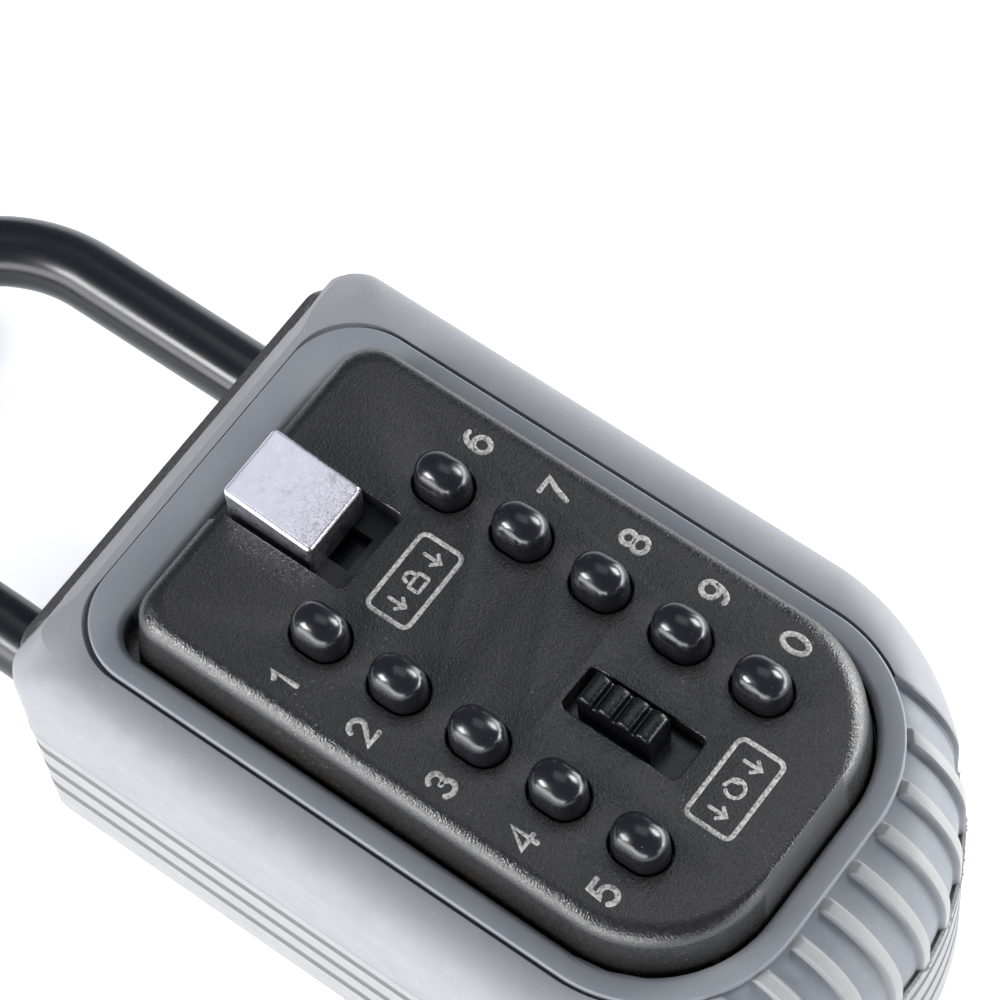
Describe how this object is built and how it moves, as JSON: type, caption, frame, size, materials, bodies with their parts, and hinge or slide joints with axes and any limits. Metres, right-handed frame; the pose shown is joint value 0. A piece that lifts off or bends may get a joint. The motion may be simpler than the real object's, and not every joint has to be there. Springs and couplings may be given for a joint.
{
  "type": "key lock box",
  "caption": "Portable push-button key safe in a ribbed rubber boot, with a lift-off keypad cover and a sliding shackle that hangs it on a handle or a rail.",
  "frame": {"origin": "on the flat back, on the middle line, under the middle row of buttons", "axes": "+Z out of the keypad, +Y towards the shackle, +X to the right as the keypad is read"},
  "size_m": [0.0728, 0.1809, 0.0553],
  "materials": {
    "painted_zinc": "dark grey-brown textured powder coat",
    "boot_rubber": "matte blue-grey moulded rubber",
    "button_plastic": "glossy black, blue-black in the light",
    "nickel": "satin nickel plate with fine specks",
    "steel": "zinc-plated sheet and pins",
    "spring_steel": "drawn wire",
    "brass": "turned brass",
    "black_coating": "glossy black vinyl-coated steel"
  },
  "bodies": {
    "case": {"rear_case": "painted_zinc", "rubber_boot": "boot_rubber", "shackle_retaining_pin": "steel", "latch_bridge": "steel", "latch_bridge_screw_1": "steel", "latch_bridge_screw_2": "steel", "shackle_latch_spring": "spring_steel"},
    "cover": {"front_cover": "painted_zinc", "mechanism_backplate": "steel", "backplate_screw_1": "steel", "backplate_screw_2": "steel", "backplate_screw_3": "steel", "backplate_screw_4": "steel", "lever_spring": "spring_steel", "clear_spring": "spring_steel", "button_spring_1": "spring_steel", "button_spring_2": "spring_steel", "button_spring_3": "spring_steel", "button_spring_4": "spring_steel", "button_spring_5": "spring_steel", "button_spring_6": "spring_steel", "button_spring_7": "spring_steel", "button_spring_8": "spring_steel", "button_spring_9": "spring_steel", "button_spring_0": "spring_steel"},
    "open_lever": {"open_lever": "nickel", "gate_plate": "steel", "latch_bolt": "steel"},
    "clear_slider": {"clear_slider": "button_plastic"},
    "shackle": {"shackle": "black_coating"},
    "shackle_latch": {"shackle_release_latch": "steel"},
    "button_1": {"push_button_1": "button_plastic", "code_dial_1": "brass"},
    "button_2": {"push_button_2": "button_plastic", "code_dial_2": "brass"},
    "button_3": {"push_button_3": "button_plastic", "code_dial_3": "brass"},
    "button_4": {"push_button_4": "button_plastic", "code_dial_4": "brass"},
    "button_5": {"push_button_5": "button_plastic", "code_dial_5": "brass"},
    "button_6": {"push_button_6": "button_plastic", "code_dial_6": "brass"},
    "button_7": {"push_button_7": "button_plastic", "code_dial_7": "brass"},
    "button_8": {"push_button_8": "button_plastic", "code_dial_8": "brass"},
    "button_9": {"push_button_9": "button_plastic", "code_dial_9": "brass"},
    "button_0": {"push_button_0": "button_plastic", "code_dial_0": "brass"}
  },
  "joints": [
    {"name": "cover_tilt", "type": "hinge", "parent": "case", "child": "cover", "pos_m": [0, -0.0402, 0.0423], "axis": [1, 0, 0], "range_deg": [0, 60]},
    {"name": "open_lever_slide", "type": "slide", "parent": "cover", "child": "open_lever", "axis": [0, -1, 0], "range_m": [0, 0.0046], "stiffness_N_per_m": 700, "springref_m": -0.002, "deforming": ["lever_spring"]},
    {"name": "clear_slide", "type": "slide", "parent": "cover", "child": "clear_slider", "axis": [0, -1, 0], "range_m": [0, 0.0044], "stiffness_N_per_m": 500, "springref_m": -0.002, "deforming": ["clear_spring"]},
    {"name": "shackle_slide", "type": "slide", "parent": "case", "child": "shackle", "axis": [0, 1, 0], "range_m": [0, 0.028]},
    {"name": "shackle_latch_slide", "type": "slide", "parent": "case", "child": "shackle_latch", "axis": [-1, 0, 0], "range_m": [0, 0.003], "stiffness_N_per_m": 400, "springref_m": -0.002, "deforming": ["shackle_latch_spring"]},
    {"name": "button_1_press", "type": "slide", "parent": "cover", "child": "button_1", "axis": [0, 0, -1], "range_m": [0, 0.0025], "stiffness_N_per_m": 600, "springref_m": -0.001, "deforming": ["button_spring_1"]},
    {"name": "button_2_press", "type": "slide", "parent": "cover", "child": "button_2", "axis": [0, 0, -1], "range_m": [0, 0.0025], "stiffness_N_per_m": 600, "springref_m": -0.001, "deforming": ["button_spring_2"]},
    {"name": "button_3_press", "type": "slide", "parent": "cover", "child": "button_3", "axis": [0, 0, -1], "range_m": [0, 0.0025], "stiffness_N_per_m": 600, "springref_m": -0.001, "deforming": ["button_spring_3"]},
    {"name": "button_4_press", "type": "slide", "parent": "cover", "child": "button_4", "axis": [0, 0, -1], "range_m": [0, 0.0025], "stiffness_N_per_m": 600, "springref_m": -0.001, "deforming": ["button_spring_4"]},
    {"name": "button_5_press", "type": "slide", "parent": "cover", "child": "button_5", "axis": [0, 0, -1], "range_m": [0, 0.0025], "stiffness_N_per_m": 600, "springref_m": -0.001, "deforming": ["button_spring_5"]},
    {"name": "button_6_press", "type": "slide", "parent": "cover", "child": "button_6", "axis": [0, 0, -1], "range_m": [0, 0.0025], "stiffness_N_per_m": 600, "springref_m": -0.001, "deforming": ["button_spring_6"]},
    {"name": "button_7_press", "type": "slide", "parent": "cover", "child": "button_7", "axis": [0, 0, -1], "range_m": [0, 0.0025], "stiffness_N_per_m": 600, "springref_m": -0.001, "deforming": ["button_spring_7"]},
    {"name": "button_8_press", "type": "slide", "parent": "cover", "child": "button_8", "axis": [0, 0, -1], "range_m": [0, 0.0025], "stiffness_N_per_m": 600, "springref_m": -0.001, "deforming": ["button_spring_8"]},
    {"name": "button_9_press", "type": "slide", "parent": "cover", "child": "button_9", "axis": [0, 0, -1], "range_m": [0, 0.0025], "stiffness_N_per_m": 600, "springref_m": -0.001, "deforming": ["button_spring_9"]},
    {"name": "button_0_press", "type": "slide", "parent": "cover", "child": "button_0", "axis": [0, 0, -1], "range_m": [0, 0.0025], "stiffness_N_per_m": 600, "springref_m": -0.001, "deforming": ["button_spring_0"]}
  ]
}
